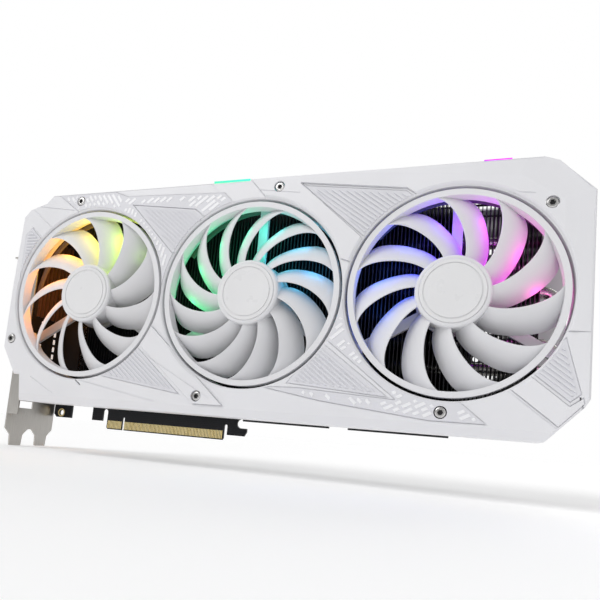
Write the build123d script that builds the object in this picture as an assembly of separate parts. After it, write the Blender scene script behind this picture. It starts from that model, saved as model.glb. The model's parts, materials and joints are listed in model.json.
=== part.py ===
from build123d import *
import math
import os

# Graphics card with three fans. Millimetres. X runs along the card towards its tail, Z is up, away from
# the motherboard, and the fans face -Y. The origin is the key notch of the edge connector: X = 0 at the
# notch's centre, Z = 0 at the bottom of the contacts, Y = 0 in the middle of the circuit board.

# ---- overall
PLATE_FACE_X = -57.15       # inner face of the bracket, set by the slot standard
BRACKET_T = 1.0
LENGTH = 318.5              # bracket's outer face to the tail
TAIL_X = PLATE_FACE_X - BRACKET_T + LENGTH
FRONT_Y = -53.0
BACK_Y = 4.8
TOP_Z = 140.1
BOARD_T = 1.57
BOARD_FRONT = -BOARD_T / 2
BOARD_BACK = BOARD_T / 2

# ---- cover
BASE_Y = -51.8              # front of the base moulding; covers and lips stand up to FRONT_Y
WALL = 1.8
WALL_BACK_Y = -26.0
COVER_BOTTOM_Z = 12.4
COVER_TOP_Z = 138.2
SEAM = 0.45                 # gap round each inlaid piece
SEAM_D = 0.5                # how deep that gap is cut into the base moulding
RIB_PITCH = 1.9
RIB_W = 0.95
RIB_H = 0.55
RIB_BORDER = 1.5            # flat margin round each field of ribs
RIB_PLATE = 0.3
FACET_TILT = 8.0            # slope of the facets towards the outer edge, degrees

# ---- fans
FAN_PITCH = 101.3
FAN_X = [1.0, 1.0 + FAN_PITCH, 1.0 + 2 * FAN_PITCH]
FAN_NAMES = ["left", "centre", "right"]
FAN_BLADES = [11, 13, 11]
FAN_TURN = [1, -1, 1]       # +1 where the fan turns anticlockwise seen from the front
FAN_PHASE = [137.0, 46.4, 139.0]
FAN_SWEEP = [1.0, 1.2, 1.0]
FAN_Z = 77.0
BORE_R = 50.0
BORE_EDGE = 0.8             # chamfer of the bore in the base moulding
COVER_R = 50.5              # the covers are cut back to this radius round each bore
RIM_R = 48.5
RIM_IN = 45.7
RIM_BACK = -45.5
HUB_R = 17.0
HUB_WALL = 1.2
CAP_R = 15.0
GROOVE_R = 13.2
SHAFT_R = 1.5
SHAFT_GAP = 0.04
ROTOR_FRONT = -52.0
ROTOR_BACK = -40.4
BLADE_FRONT = -50.6
BLADE_BACK = -41.2
MOUNT_FRONT = -38.2
MOUNT_BACK = -36.2
ARM_W = 5.0
# radius, sweep and chord in degrees, thickness, for each slice of a blade from hub to rim
BLADE_SLICES = [
    (15.9, 0.0, 27.0, 1.8),
    (25.0, 7.0, 24.5, 1.6),
    (34.0, 15.0, 21.0, 1.4),
    (41.0, 22.0, 20.0, 1.2),
    (46.5, 32.0, 20.5, 1.1),
]
BLADE_CAMBER = 0.9

# ---- cooler
FIN_T = 0.45
FIN_PITCH = 1.9
FIN_FRONT = -34.5
FIN_BACK = -14.0
FIN_BOTTOM = 17.5
FIN_TOP = 132.5
FIN_TIE = 0.5
# first fin and number of fins of each stack; the pitch carries on across the joins
STACKS = {"fins_left": (-8.0, 51), "fins_middle": (88.9, 62), "fins_tail": (206.7, 19)}
TAIL_FIN_BACK = -1.5
PIPE_R = 3.0
PIPE_Y = -17.1
PIPE_Z = [47.0, 60.0, 73.0, 86.0, 99.0, 112.0]
PIPE_LEFT_X = -11.0
PIPE_BEND_X = 244.0

# ---- board
BOARD_LEFT_X = -56.6
BOARD_RIGHT_X = 207.0
BOARD_BOTTOM_Z = 13.3
BOARD_TOP_Z = 128.0
TAB_Z = 5.0
NOTCH_W = 1.9
SHORT_EDGE = 11.65
LONG_EDGE = 71.65
CONTACT_TOP_Z = 5.6
GPU_X = 66.0
GPU_Z = 79.0
PACKAGE = 40.0
DIE = 24.0

# ---- power sockets, on the board's top edge
SOCKET_X = [148.0, 170.0, 192.0]
SOCKET_W = 19.4
SOCKET_FRONT = -13.4
SOCKET_Z = 116.5
SOCKET_TOP = 134.5
PIN_PITCH = 4.2

# ---- video sockets, up the bracket
VIDEO_Z = [24.0, 42.0, 60.0, 78.0, 96.0]
VIDEO_WIDE = [False, False, False, True, True]
VIDEO_BACK_X = -38.0
SOCKET_COVER_Y = -7.1

# ---- bracket
BRACKET_FRONT = -38.5
BRACKET_BACK = -0.4
LEG_TIP_Z = -15.2
TAB_TOP_Z = 104.8
TAB_REACH = 11.4
SLOT_PITCH = 20.32
LEG_W = 9.8
LEG_Y = [-29.6, -29.6 + SLOT_PITCH]
FLANGE_END_X = -49.5
FLANGE_SCREW_X = -53.0
FLANGE_SCREW_Z = [50.8, 96.8]
NOTCH_SCREW_R = 2.21

# ---- two-position switch
SWITCH_X = -33.0
SWITCH_TRAVEL = 2.0
SLIDER_W = 1.6
SLIDER_D = 1.2

# ---- rear
BACK_T = 1.5
BACK_FRONT = BACK_Y - BACK_T
BACK_SCREWS = [(-46, 20), (-46, 122), (24, 20), (24, 122), (118, 20), (118, 122), (200, 20), (200, 108)]
TAIL_SCREWS = [(252, 30), (252, 118)]
BRACE_HALF = 27.0
BRACE_BACK = 2.05
WINDOW = 64.0

# light bar in the top wall: where each diffuser starts and ends, its front and its top
LIGHT_SPANS = [(76, 97.2, -50.4, 139.0), (104, 206, -45.0, TOP_Z), (214, 226, -50.4, 139.0)]
LIGHT_BACK = -39.0
LIGHT_FOOT_Z = 134.6

COVER_SCREWS = [(-10, 132.3), (-48.2, 49), (115.3, 132.2), (80.2, 21.8), (201.4, 21.8), (243, 116)]

FRONT_OUTLINE = [
    (-37, 12.6), (243.6, COVER_BOTTOM_Z), (258.2, 27.7), (TAIL_X, 31.4), (TAIL_X, 121.4), (251, 130.5),
    (245.5, 136), (239.5, COVER_TOP_Z), (98, COVER_TOP_Z), (97.2, 137.6), (-32, 137.6), (-37, 133),
    (-48.5, 129.5),
    (-52.6, 125), (-54, 80), (-54, 44), (-43.5, 28), (-39.5, 28),
]
# crease lines, clockwise, beyond which the front slopes back
CREASES = [((145, 137.7), (230, 129.5)), ((230, 129.5), (243, 120.5)), ((247.9, 118.6), (250, 58))]

# ribbed inserts: outline and the direction of the ribs in degrees
RIB_FIELDS = {
    "ribs_upper_left": ([(26.5, 128), (67.5, 123.2), (74.6, 117.6), (60.3, 100.8), (56, 98.4)], -38),
    "ribs_upper_middle": ([(127.6, 132.4), (180, 126), (184, 123), (186, 118), (160.8, 103.9)], -36),
    "ribs_lower_left": ([(40.3, 47.2), (70.6, 21.9), (12, 30.4)], -38),
    "ribs_lower_middle": ([(144.2, 52.3), (178.6, 26.8), (128, 31)], -37),
    "ribs_lower_right": ([(250.4, 57), (256.9, 33), (252.5, 29.2), (237.5, 41)], -37),
    "ribs_left_edge": ([(-44.5, 118), (-48.8, 113.4), (-48.8, 84), (-46, 84), (-40, 103), (-36, 110.5)], 0),
}
COVERS = {
    "cover_right": [
        (98.3, 137.6), (239.3, 137.6), (245, 135.4), (250.6, 130), (259.8, 121), (259.8, 59), (250.6, 59),
        (230, 70), (186.5, 117), (184.4, 123.6), (180.2, 126.6), (127.2, 133.1), (160.8, 103.2), (155.8, 91),
        (130, 100), (108.8, 126),
    ],
    "cover_diagonal": [(47.3, 59.6), (96.4, 17.4), (78.4, 17.4), (72.4, 22.4), (41, 48.4)],
    "cover_lower_right": [(228.4, 34.2), (236.9, 40.2), (252.4, 28), (257.6, 32), (258.2, 29), (248.4, 18.6)],
}
# fine grooves in the faces, from end to end
GROOVES = [
    ((75, 137), (88, 125)), ((-46, 130), (-28, 116)), ((-42, 131), (-14, 127)), ((-44, 118), (-34, 110)),
    ((5, 26.5), (55, 17.5)), ((227, 34), (248, 18)), ((-30, 27), (-12, 18)), ((38, 47), (88, 21)),
    ((104, 131), (127, 128)), ((163, 91), (188, 112)), ((190, 126), (236, 120.5)), ((236, 52), (251, 47)),
]
GROOVE_W = 0.6
GROOVE_D = 0.35
PATTERNS = {
    "pattern_upper": [
        (-27, 136.9), (14, 136.6), (22, 133.5), (84, 131.5), (94, 121.5), (76, 115), (66, 118),
        (34, 124), (58, 98), (54, 79), (40, 77), (0, 110), (-12, 126.4),
    ],
    "pattern_lower": [
        (151.2, 78), (146.2, 53.2), (181, 26.4), (134, 29.4), (112, 29), (145, 23.4), (196, 17.6),
        (221.4, 17.6), (208, 28.2), (180, 60),
    ],
}


# ---- helpers
def slab(sketch, back, front):
    """A sketch drawn in (X, Z), as a solid from Y = back forward to Y = front."""
    return extrude(Plane.XZ.offset(-back) * sketch, amount=back - front)


def poly(points):
    return make_face(Polyline(*points, close=True))


def disc(x, z, r):
    return Pos(x, z) * Circle(r)


def annulus(x, z, outer, inner):
    return disc(x, z, outer) - disc(x, z, inner)


def block(x0, x1, y0, y1, z0, z1):
    return Pos((x0 + x1) / 2, (y0 + y1) / 2, (z0 + z1) / 2) * Box(x1 - x0, y1 - y0, z1 - z0)


def upright(x, y, r, z0, z1):
    """A round bar along Z."""
    return Pos(x, y, (z0 + z1) / 2) * Cylinder(r, z1 - z0)


def group(parts):
    return Compound(children=[s for p in parts for s in p.solids()])


def polar(x, r, degrees):
    a = math.radians(degrees)
    return (x + r * math.cos(a), FAN_Z + r * math.sin(a))


# ---- cover
def facet(start, end):
    """The wedge to take off in front of a slope that falls away outside a crease line."""
    (x0, z0), (x1, z1) = start, end
    length = math.hypot(x1 - x0, z1 - z0)
    along = Vector((x1 - x0) / length, 0, (z1 - z0) / length)
    out = Vector(-along.Z, 0, along.X)
    t = math.radians(FACET_TILT)
    fall = out * math.cos(t) + Vector(0, math.sin(t), 0)
    front = Plane(
        origin=((x0 + x1) / 2, FRONT_Y, (z0 + z1) / 2),
        x_dir=along,
        z_dir=along.cross(fall),
    )
    return front * Pos(0, 40, 15) * Box(260, 80, 30)


def facets():
    return [facet(a, b) for a, b in CREASES]


def screw_seats():
    return [slab(disc(x, z, 2.9), FRONT_Y + 3.0, FRONT_Y - 1) for x, z in COVER_SCREWS]


def seams():
    """The shallow channels in the base moulding that show as gaps round the inlaid pieces."""
    outlines = list(COVERS.values()) + list(PATTERNS.values())
    outlines += [points for points, _ in RIB_FIELDS.values()]
    rings = [poly(points) - offset(poly(points), amount=-SEAM) for points in outlines]
    return [slab(ring, BASE_Y + SEAM_D, BASE_Y - 1) for ring in rings]


def flare(x, radius, surface, size):
    """The cone that chamfers a round hole about a fan, where it meets a surface."""
    middle = surface + (size - 0.2) / 2
    return Pos(x, middle, FAN_Z) * Rot(90, 0, 0) * Cone(radius, radius + size + 0.2, size + 0.2)


def front_shroud():
    face = poly(FRONT_OUTLINE)
    shell = slab(face, WALL_BACK_Y, BASE_Y)
    rim = shell.faces().sort_by(Axis.Y)[0].outer_wire().edges()
    shell = chamfer(rim.filter_by(lambda e: e.center().Z > 14), length=1.0)
    bevel = [(BASE_Y - 1, 10), (BASE_Y - 1, 16.6), (BASE_Y, 16.6), (BASE_Y + 1.6, 12), (BASE_Y + 1.6, 10)]
    shell -= Pos(-60, 0, 0) * extrude(Plane.YZ * poly(bevel), amount=330)
    shell -= slab(offset(face, amount=-WALL), WALL_BACK_Y, BASE_Y + WALL)
    for x in FAN_X:
        shell += slab(disc(x, FAN_Z, BORE_R + 1.6), MOUNT_FRONT, BASE_Y + WALL)
    for cut in seams() + facets() + screw_seats() + grooves(BASE_Y):
        shell -= cut
    for x in FAN_X:
        shell -= slab(disc(x, FAN_Z, BORE_R), WALL_BACK_Y, FRONT_Y - 1)
        shell -= flare(x, BORE_R, BASE_Y, BORE_EDGE)
    shell -= block(-60, -44, -43.5, WALL_BACK_Y + 1, 20, 131)
    for a, b, front, top in LIGHT_SPANS:
        shell -= block(a, b, front, LIGHT_BACK, LIGHT_FOOT_Z, top)
    for z in range(36, 120, 9):
        shell -= block(TAIL_X - 3, TAIL_X + 1, -46, -30, z, z + 5)
    for x, z, turn in [(4.1, 25.2, -35), (256.9, 29.3, -75)]:
        shell -= slab(Pos(x, z) * Rot(0, 0, turn) * Rectangle(5.2, 0.8), BASE_Y + WALL, FRONT_Y - 1)
    return shell


def groove(start, end, surface):
    (x0, z0), (x1, z1) = start, end
    angle = math.degrees(math.atan2(z1 - z0, x1 - x0))
    line = SlotOverall(math.hypot(x1 - x0, z1 - z0), GROOVE_W)
    return slab(Pos((x0 + x1) / 2, (z0 + z1) / 2) * Rot(0, 0, angle) * line, surface + GROOVE_D, surface - 2)


def grooves(surface):
    return [groove(a, b, surface) for a, b in GROOVES]


def inlay(points, margin, back, front, clear_r):
    """A flat piece laid on the base moulding, inside its outline and clear of the three bores."""
    piece = slab(offset(poly(points), amount=-margin), back, front)
    for x in FAN_X:
        piece -= slab(disc(x, FAN_Z, clear_r), back + 1, front - 1)
    return piece


def biggest(part):
    return part.solids().sort_by(SortBy.VOLUME)[-1]


def ribbed(points, degrees):
    """A thin plate with raised ribs that run at an angle, cut off flush at the bore."""
    top = BASE_Y - RIB_PLATE
    plate = inlay(points, SEAM, BASE_Y, top, BORE_R + BORE_EDGE)
    field = inlay(points, SEAM + RIB_BORDER, top, top - RIB_H, BORE_R + BORE_EDGE)
    centre = Vector(sum(p[0] for p in points) / len(points), sum(p[1] for p in points) / len(points))
    turned = Pos(centre.X, centre.Y) * Rot(0, 0, degrees)
    bars = [turned * Pos(0, k * RIB_PITCH) * Rectangle(120, RIB_W) for k in range(-20, 21)]
    ribs = [slab(bar, top, top - RIB_H) & field for bar in bars]
    for rib in ribs:
        if rib and rib.solids():
            plate += rib
    return biggest(plate)


def cover(points):
    piece = inlay(points, SEAM, BASE_Y, FRONT_Y, COVER_R)
    for cut in facets() + screw_seats() + grooves(FRONT_Y):
        piece -= cut
    for x in FAN_X:
        piece -= flare(x, COVER_R, FRONT_Y, 1.0)
    return biggest(piece)


def pattern(points):
    piece = inlay(points, SEAM, BASE_Y, BASE_Y - 0.5, BORE_R + BORE_EDGE)
    for points_of_field, _ in RIB_FIELDS.values():
        piece -= slab(poly(points_of_field), BASE_Y + 1, FRONT_Y)
    for cut in facets() + screw_seats():
        piece -= cut
    return biggest(piece)


def screw(x, z, back, front, head_r, socket_r):
    """A button-head screw along Y with a hexagon socket, its head at the front."""
    head = slab(disc(x, z, head_r), front + 1.6, front)
    head = fillet(head.faces().sort_by(Axis.Y)[0].outer_wire().edges(), radius=0.7)
    body = slab(disc(x, z, 1.25), back, front + 1.6) + head
    return body - slab(Pos(x, z) * RegularPolygon(socket_r, 6), front + 1.3, front - 1)


def shroud_screws():
    return group([screw(x, z, BASE_Y + WALL, FRONT_Y + 0.5, 2.5, 1.35) for x, z in COVER_SCREWS])


def light_bar():
    """Diffuser strips that stand in slots in the top wall of the cover."""
    spans = [block(a, b, front, LIGHT_BACK, LIGHT_FOOT_Z, top) for a, b, front, top in LIGHT_SPANS]
    return group(spans)


def light_strip():
    """Narrow lamp boards under the diffusers."""
    low = LIGHT_FOOT_Z - 1.2
    return group([block(a + 2, b - 2, -44, -40, low, LIGHT_FOOT_Z) for a, b, _, _ in LIGHT_SPANS])


def glow_guides():
    """Curved light guides that hang behind the upper part of each duct."""
    arcs = []
    for x, first, last in zip(FAN_X, (105, 60, 20), (175, 150, 140)):
        ring = slab(annulus(x, FAN_Z, 51.4, 49.2), FIN_FRONT - 0.1, MOUNT_BACK + 0.1)
        wedge = poly([(x, FAN_Z)] + [polar(x, 75, a) for a in (first, (first + last) / 2, last)])
        arcs.append(ring & slab(wedge, -34, -38))
    return group(arcs)


# ---- fans
def blade_slice(x, turn, lead, r, chord, thick):
    """A cambered slice across a blade, on the plane that touches the circle of radius r."""
    mid = math.radians(lead - turn * chord / 2)
    half = r * math.tan(math.radians(chord / 2))
    rise = turn * (BLADE_BACK - BLADE_FRONT) / 2
    plane = Plane(
        origin=(x + r * math.cos(mid), (BLADE_FRONT + BLADE_BACK) / 2, FAN_Z + r * math.sin(mid)),
        x_dir=Vector(-math.sin(mid), 0, math.cos(mid)) * turn,
        z_dir=(math.cos(mid), 0, math.sin(mid)),
    )
    front = Vector(-rise, half).normalized() * turn
    nose = Vector(half, rise)
    tail = Vector(-half, -rise)
    end = front * 0.3
    outer = ThreePointArc(tail + end, front * (BLADE_CAMBER + thick / 2), nose + end)
    inner = ThreePointArc(nose - end, front * (BLADE_CAMBER - thick / 2), tail - end)
    outline = [outer, Line(nose + end, nose - end), inner, Line(tail - end, tail + end)]
    return plane * make_face(outline)


def blade(x, turn, phase, sweep_scale):
    slices = []
    for r, sweep, chord, thick in BLADE_SLICES:
        slices.append(blade_slice(x, turn, phase + turn * sweep * sweep_scale, r, chord, thick))
    return loft(slices)


def about_fan(x, degrees):
    return Pos(x, 0, FAN_Z) * Rot(0, degrees, 0) * Pos(-x, 0, -FAN_Z)


def hub(x):
    cup = slab(disc(x, FAN_Z, HUB_R), ROTOR_BACK, ROTOR_FRONT)
    rim = cup.faces().sort_by(Axis.Y)[0].outer_wire().edges()
    cup = fillet(rim, radius=1.4)
    cup -= slab(disc(x, FAN_Z, HUB_R - HUB_WALL), ROTOR_BACK, ROTOR_FRONT + 2.2)
    cup -= slab(disc(x, FAN_Z, CAP_R), ROTOR_FRONT + 0.8, ROTOR_FRONT - 1)
    return cup + slab(annulus(x, FAN_Z, 3.4, SHAFT_R), ROTOR_FRONT + 4.6, ROTOR_FRONT + 2.2)


def rotor(x, count, turn, phase, sweep_scale):
    rim = slab(annulus(x, FAN_Z, RIM_R, RIM_IN), RIM_BACK, BLADE_FRONT - 0.6)
    first = blade(x, turn, phase, sweep_scale)
    blades = [about_fan(x, 360 * k / count) * first for k in range(count)]
    return hub(x) + [rim] + blades


def hub_cap(x):
    """The disc on a hub: a ring groove near its edge and a softly dished middle."""
    back = ROTOR_FRONT + 0.8
    front = ROTOR_FRONT - 0.5
    cap = slab(disc(x, FAN_Z, CAP_R - 0.1), back, front)
    cap = chamfer(cap.faces().sort_by(Axis.Y)[0].outer_wire().edges(), length=0.3)
    cap -= slab(annulus(x, FAN_Z, GROOVE_R, GROOVE_R - 0.6), front + 0.4, front - 1)
    dish_r = 160.0
    return cap - Pos(x, front + 0.3 - dish_r, FAN_Z) * Sphere(dish_r)


def fan_steel(x):
    """The shaft and the magnet ring, both pressed into the rotor."""
    shaft = slab(disc(x, FAN_Z, SHAFT_R), MOUNT_FRONT + 0.7, ROTOR_FRONT + 2.2)
    inside = HUB_R - HUB_WALL
    magnet = slab(annulus(x, FAN_Z, inside, inside - 1.5), ROTOR_BACK - 0.4, -49.0)
    return group([shaft, magnet])


def fan_mount(x):
    """Motor base with the bearing tube, held by three arms on the back of the duct."""
    base = slab(disc(x, FAN_Z, 18), MOUNT_BACK, MOUNT_FRONT)
    for a in (90, 210, 330):
        arm = Pos(x, FAN_Z) * Rot(0, 0, a) * Pos(33.8, 0) * Rectangle(35.2, ARM_W)
        base += slab(arm, MOUNT_BACK, MOUNT_FRONT)
    base += slab(disc(x, FAN_Z, 4.2), MOUNT_FRONT, -46.5)
    return base - slab(disc(x, FAN_Z, SHAFT_R + SHAFT_GAP), MOUNT_FRONT + 1.0, -47)


def stator(x):
    """Six coils on a core that stands round the bearing tube."""
    core = annulus(x, FAN_Z, 7, 4.3)
    for k in range(6):
        spoke = Pos(x, FAN_Z) * Rot(0, 0, 60 * k) * Pos(9.5, 0)
        core += spoke * Rectangle(7, 3.2)
        core += spoke * Pos(2.9, 0) * Rectangle(1.4, 9.0)
    trimmed = core & disc(x, FAN_Z, 13.6)
    return slab(trimmed, -40.2, -46.5)


# ---- cooler
def fin_stack(x0, count, back):
    fins = []
    for k in range(count):
        x = x0 + k * FIN_PITCH
        fins.append(block(x, x + FIN_T, FIN_FRONT, back, FIN_BOTTOM, FIN_TOP))
    end = x0 + (count - 1) * FIN_PITCH
    ties = []
    for y in (FIN_FRONT + 3, (FIN_FRONT + back) / 2, back - 3):
        ties.append(block(x0, end + FIN_T, y - 0.8, y + 0.8, FIN_TOP - FIN_TIE, FIN_TOP))
        ties.append(block(x0, end + FIN_T, y - 0.8, y + 0.8, FIN_BOTTOM, FIN_BOTTOM + FIN_TIE))
    stack = ties[0] + ties[1:] + fins
    for z in PIPE_Z:
        stack -= Pos((x0 + end) / 2, PIPE_Y, z) * Rot(0, 90, 0) * Cylinder(PIPE_R + 0.06, end - x0 + 10)
    return stack


def heat_pipe(low, high):
    """One U-shaped pipe: out to the tail, round, and back."""
    reach = (high - low) / 2
    start = (PIPE_LEFT_X, PIPE_Y, low)
    turn_low = (PIPE_BEND_X, PIPE_Y, low)
    turn_high = (PIPE_BEND_X, PIPE_Y, high)
    apex = (PIPE_BEND_X + reach, PIPE_Y, low + reach)
    path = Line(start, turn_low) + ThreePointArc(turn_low, apex, turn_high)
    path += Line(turn_high, (PIPE_LEFT_X, PIPE_Y, high))
    pipe = sweep(Plane(origin=start, z_dir=(1, 0, 0)) * Circle(PIPE_R), path=path)
    ends = pipe.edges().filter_by(GeomType.CIRCLE).filter_by(lambda e: e.center().X < PIPE_LEFT_X + 0.1)
    return fillet(ends, radius=1.6)


def heat_pipes():
    return group([heat_pipe(a, b) for a, b in zip(PIPE_Z[0::2], PIPE_Z[1::2])])


def brace_corners():
    return [(GPU_X + i * BRACE_HALF, GPU_Z + k * BRACE_HALF) for i in (-1, 1) for k in (-1, 1)]


def cold_plate():
    die_top = BOARD_FRONT - 2.0
    plate = block(GPU_X - 30, GPU_X + 30, FIN_BACK, FIN_BACK + 4, PIPE_Z[0] - 5, PIPE_Z[-1] + 5)
    half = PACKAGE / 2
    plate += block(GPU_X - half, GPU_X + half, FIN_BACK + 4, die_top, GPU_Z - half, GPU_Z + half)
    for x, z in brace_corners():
        plate += slab(annulus(x, z, 3.2, 1.35), BOARD_FRONT, FIN_BACK + 4)
    return plate


def power_stage_plate():
    plate = block(124, 134, -6.2, BOARD_FRONT - 0.9, 27, 107)
    for z in range(32, 104, 6):
        plate -= block(123, 135, -7, -4.2, z, z + 3)
    return plate


def board_frame():
    frame = block(-20, 134, -5.5, BOARD_FRONT, 120.5, 126.5)
    for x in (24, 118):
        frame -= slab(disc(x, 122, 1.6), 0, -6)
    return frame


# ---- board
def circuit_board():
    left = -NOTCH_W / 2 - SHORT_EDGE
    right = NOTCH_W / 2 + LONG_EDGE
    outline = [
        (BOARD_LEFT_X, 7.2), (-54.3, TAB_Z), (-42.2, TAB_Z), (-42.2, 14), (-24.8, 14), (-24.8, TAB_Z),
        (-16.6, TAB_Z), (-16.6, 11), (left, 11), (left, 1.0), (left + 0.7, 0), (right - 0.7, 0), (right, 1.0),
        (right, 8.4), (74.8, 8.4), (74.8, 3.2), (86.2, 3.2), (87.6, 5.8), (87.6, 7.9), (83.7, 7.9),
        (83.7, BOARD_BOTTOM_Z), (BOARD_RIGHT_X, BOARD_BOTTOM_Z), (BOARD_RIGHT_X, 124),
        (203, BOARD_TOP_Z), (-50, BOARD_TOP_Z), (BOARD_LEFT_X, 121),
    ]
    face = poly(outline)
    face -= disc((left - 16.6) / 2, 11, (left + 16.6) / 2)
    face -= disc((right + 74.8) / 2, 8.4, (74.8 - right) / 2)
    face -= disc(83.7, (7.9 + BOARD_BOTTOM_Z) / 2, (BOARD_BOTTOM_Z - 7.9) / 2)
    face -= Pos(0, 3) * Rectangle(NOTCH_W, 9) + disc(0, 7.5, NOTCH_W / 2)
    face -= disc(-50.5, 8.2, 1.9)
    for x, z in brace_corners() + BACK_SCREWS:
        face -= disc(x, z, 1.5)
    return slab(face, BOARD_BACK, BOARD_FRONT)


def contact_centres():
    return [-1.5 - k for k in range(11)] + [1.5 + k for k in range(71)]


def edge_contacts():
    """Gold on both faces: the edge contacts and the ring round the hole beside the bracket."""
    strips = []
    for x in contact_centres():
        for y0, y1 in ((BOARD_FRONT - 0.05, BOARD_FRONT), (BOARD_BACK, BOARD_BACK + 0.05)):
            strips.append(block(x - 0.35, x + 0.35, y0, y1, 0.7, CONTACT_TOP_Z))
    ring = annulus(-50.5, 8.2, 2.8, 1.9)
    strips.append(slab(ring, BOARD_FRONT, BOARD_FRONT - 0.06))
    strips.append(slab(ring, BOARD_BACK + 0.06, BOARD_BACK))
    return group(strips)


def chip(x, z, w, h, tall):
    return block(x - w / 2, x + w / 2, BOARD_FRONT - tall, BOARD_FRONT, z - h / 2, z + h / 2)


def gpu_substrate():
    return chip(GPU_X, GPU_Z, PACKAGE, PACKAGE, 1.2)


def gpu_die():
    half = DIE / 2
    top = BOARD_FRONT - 1.2
    return block(GPU_X - half, GPU_X + half, top - 0.8, top, GPU_Z - half, GPU_Z + half)


def memory_chips():
    places = [(GPU_X + i * 8, GPU_Z + k * 30) for i in (-1, 1) for k in (-1, 1)]
    places += [(GPU_X + i * 30, GPU_Z + k * 9) for i in (-1, 1) for k in (-1, 1)]
    return group([chip(x, z, 12, 14, 1.1) for x, z in places])


def chokes():
    places = [(117, 31 + 10.4 * k) for k in range(8)] + [(12, 40 + 11 * k) for k in range(5)]
    places += [(-16, 38 + 10.4 * k) for k in range(7)]
    return group([chamfer(chip(x, z, 9, 9, 7).edges(), length=0.5) for x, z in places])


def power_stages():
    places = [(129, 31 + 10.4 * k) for k in range(8)] + [(2, 40 + 11 * k) for k in range(5)]
    return group([chip(x, z, 6, 5, 0.9) for x, z in places])


def capacitors():
    places = [(140, 34 + 9.5 * k) for k in range(8)] + [(148, 34 + 9.5 * k) for k in range(8)]
    places += [(-26, 36 + 9.5 * k) for k in range(4)]
    cans = [slab(disc(x, z, 3.3), BOARD_FRONT, BOARD_FRONT - 8) for x, z in places]
    return group(cans)


def fan_headers():
    heads = []
    for x in (26, 104, 186):
        heads.append(chip(x, 21, 8, 5, 5) - block(x - 3.2, x + 3.2, -7, -2.5, 19.4, 22.6))
    return group(heads)


def power_socket(x):
    """Eight-way power socket: two rows of four square ways, open upwards, with a pin in each."""
    body = block(x - SOCKET_W / 2, x + SOCKET_W / 2, SOCKET_FRONT, BOARD_FRONT, SOCKET_Z, SOCKET_TOP)
    middle = (SOCKET_FRONT + BOARD_FRONT) / 2
    for i in range(4):
        for k in range(2):
            px = x + (i - 1.5) * PIN_PITCH
            py = middle + (k - 0.5) * PIN_PITCH
            body -= block(px - 1.8, px + 1.8, py - 1.8, py + 1.8, SOCKET_Z + 3, SOCKET_TOP + 1)
            body += block(px - 0.45, px + 0.45, py - 0.45, py + 0.45, SOCKET_Z + 2.5, SOCKET_TOP - 3)
    body += block(x - 3, x + 3, SOCKET_FRONT - 0.5, SOCKET_FRONT, SOCKET_TOP - 6, SOCKET_TOP - 3)
    return body


def video_socket(z, wide):
    """A folded metal shell with a contact tongue, open through the bracket."""
    long = 15.0 if wide else 16.4
    deep = 5.6 if wide else 5.0
    y = BOARD_FRONT - deep / 2 - 0.4
    front_x = PLATE_FACE_X - BRACKET_T + 0.2
    outline = [
        (y - deep / 2, z - long / 2 + 1.6), (y - deep / 2 + 1.6, z - long / 2), (y + deep / 2, z - long / 2),
        (y + deep / 2, z + long / 2), (y - deep / 2, z + long / 2),
    ]
    face = poly(outline)
    shell = Pos(front_x, 0, 0) * extrude(Plane.YZ * face, amount=VIDEO_BACK_X - front_x)
    hollow = offset(face, amount=-0.45)
    shell -= Pos(front_x - 1, 0, 0) * extrude(Plane.YZ * hollow, amount=12)
    return shell + block(front_x + 1.5, front_x + 12, y - 0.5, y + 0.5, z - long / 2 + 3, z + long / 2 - 3)


def video_sockets(wide):
    return group([video_socket(z, w) for z, w in zip(VIDEO_Z, VIDEO_WIDE) if w == wide])


# ---- bracket
def bracket_profile():
    """The bracket plate, drawn in (Y, Z)."""
    shoulder = -8.5
    outline = [(BRACKET_FRONT, TAB_TOP_Z), (BRACKET_FRONT, -4.5)]
    half = LEG_W / 2
    for y in LEG_Y:
        outline += [(y - half, shoulder), (y - half + 0.5, LEG_TIP_Z)]
        outline += [(y + half - 0.5, LEG_TIP_Z), (y + half, shoulder)]
        if y == LEG_Y[0]:
            outline += [(y + half + 3.7, shoulder + 3.7), (LEG_Y[1] - half - 3.7, shoulder + 3.7)]
    outline += [(BRACKET_BACK, -4.5), (BRACKET_BACK, TAB_TOP_Z)]
    return poly(outline)


def io_bracket():
    outer = PLATE_FACE_X - BRACKET_T
    plate = Pos(outer, 0, 0) * extrude(Plane.YZ * bracket_profile(), amount=BRACKET_T)
    plate += block(PLATE_FACE_X, FLANGE_END_X, BRACKET_FRONT, BRACKET_FRONT + BRACKET_T, 4.5, 100)
    tab_z = TAB_TOP_Z - BRACKET_T
    plate += block(outer - TAB_REACH, outer, BRACKET_FRONT, BRACKET_BACK, tab_z, TAB_TOP_Z)
    for y in LEG_Y:
        plate -= upright(outer - 6, y, NOTCH_SCREW_R, tab_z - 1, TAB_TOP_Z + 1)
        plate -= block(outer - 13, outer - 6, y - NOTCH_SCREW_R, y + NOTCH_SCREW_R, tab_z - 1, TAB_TOP_Z + 1)
    for k in range(14):
        z = 8.5 + 6.6 * k
        plate -= block(outer - 1, PLATE_FACE_X + 1, -34, -19.5, z, z + 4.4)
    for z, wide in zip(VIDEO_Z, VIDEO_WIDE):
        long = 15.4 if wide else 16.8
        deep = 6.0 if wide else 5.4
        y = BOARD_FRONT - deep / 2 - 0.2
        plate -= block(outer - 1, PLATE_FACE_X + 1, y - deep / 2, y + deep / 2, z - long / 2, z + long / 2)
    for z in FLANGE_SCREW_Z:
        plate -= slab(disc(FLANGE_SCREW_X, z, 1.6), -36, -40)
    return plate


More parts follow.
